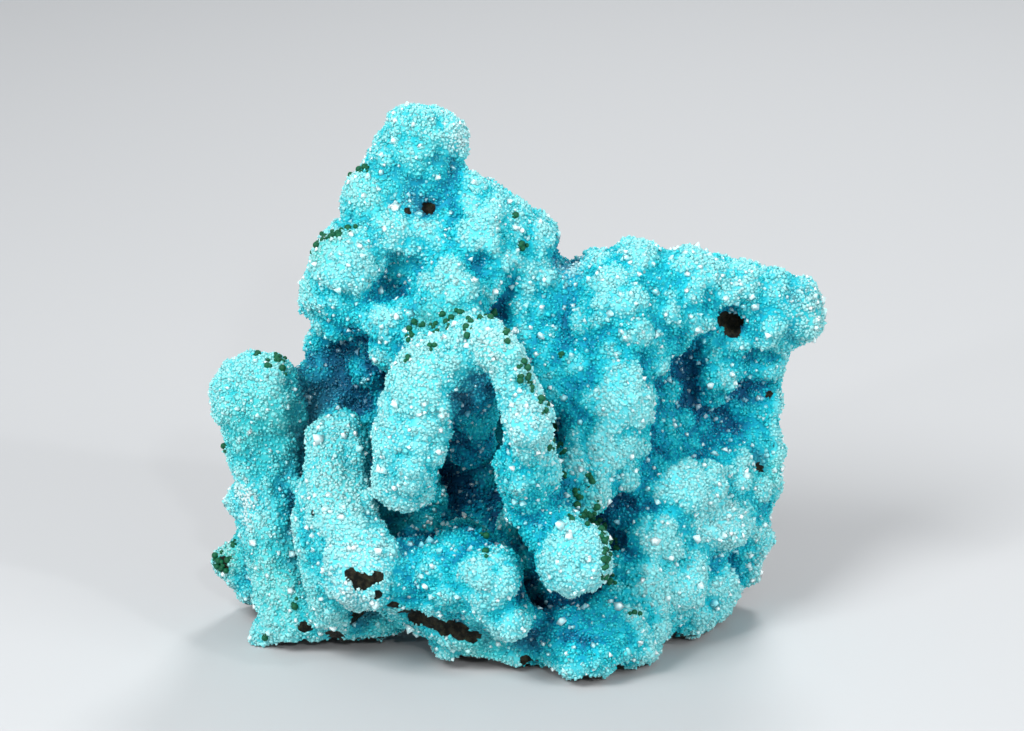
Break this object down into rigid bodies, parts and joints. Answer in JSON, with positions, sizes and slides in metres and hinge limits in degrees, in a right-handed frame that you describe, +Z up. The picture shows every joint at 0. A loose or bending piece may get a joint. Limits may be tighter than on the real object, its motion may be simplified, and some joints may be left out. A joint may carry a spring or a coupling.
{
  "type": "chrysocolla specimen",
  "caption": "Free-standing chrysocolla mineral specimen: blue-green botryoidal lumps and blunt fingers under sparkling drusy quartz, with malachite balls.",
  "frame": {"origin": "middle of the bounding box, on the flat cut base", "axes": "+Z up, +X to the right of the display face, +Y away from it, so that the display face looks along -Y"},
  "size_m": [0.0774, 0.0468, 0.0682],
  "materials": {
    "druse_on_chrysocolla": "sparkling crust of tiny quartz crystals over turquoise chrysocolla, pale on the lumps and deep blue in the hollows; dark matrix on the broken back"
  },
  "bodies": {
    "root": {"chrysocolla_specimen": "druse_on_chrysocolla"}
  },
  "joints": []
}
